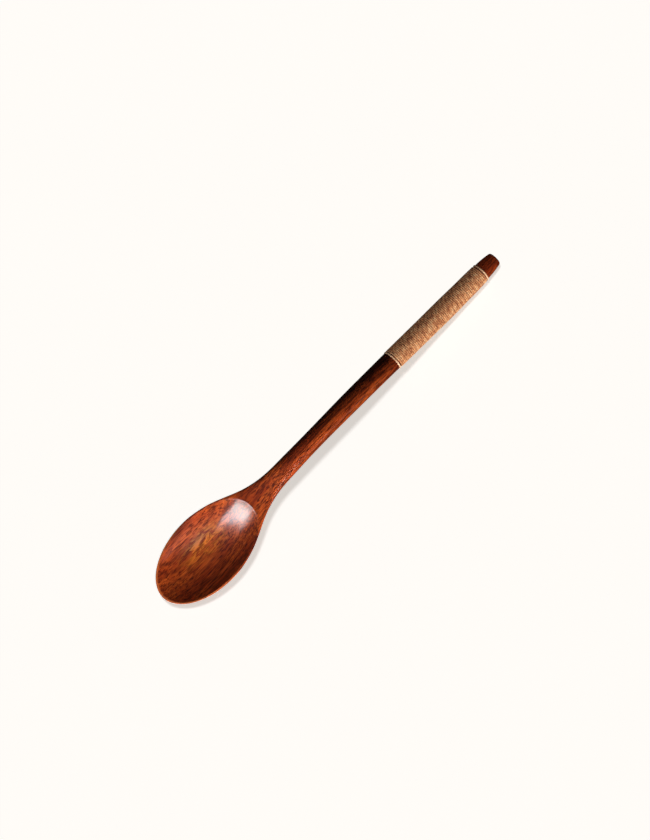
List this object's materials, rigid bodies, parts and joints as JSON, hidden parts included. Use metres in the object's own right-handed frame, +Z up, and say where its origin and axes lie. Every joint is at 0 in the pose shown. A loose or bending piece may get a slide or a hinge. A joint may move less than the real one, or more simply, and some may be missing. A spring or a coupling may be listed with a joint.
{
  "type": "wooden spoon",
  "caption": "Slender lacquered wooden spoon with an oval bowl, an arched shank, and a grip bound closely with thread near its tapered butt.",
  "frame": {"origin": "middle of the overall box in plan, on the table the spoon lies on", "axes": "+X from the bowl's tip to the butt of the handle, +Z up out of the open bowl, +Y to the left seen from above with the butt ahead; the shape is mirror-symmetric about the XZ plane"},
  "size_m": [0.23, 0.0356, 0.0209],
  "materials": {
    "lacquered_wood": "semi-gloss wiped lacquer over red-brown wood, grain visible",
    "binding_thread": "matt twisted tan thread",
    "locking_turns": "the same thread, paler where it crosses the ends of the winding"
  },
  "bodies": {
    "root": {"wooden_spoon": "lacquered_wood", "thread_winding": "binding_thread", "lower_locking_turn": "locking_turns", "upper_locking_turn": "locking_turns", "buried_start_end": "binding_thread", "buried_finish_end": "binding_thread"}
  },
  "joints": []
}
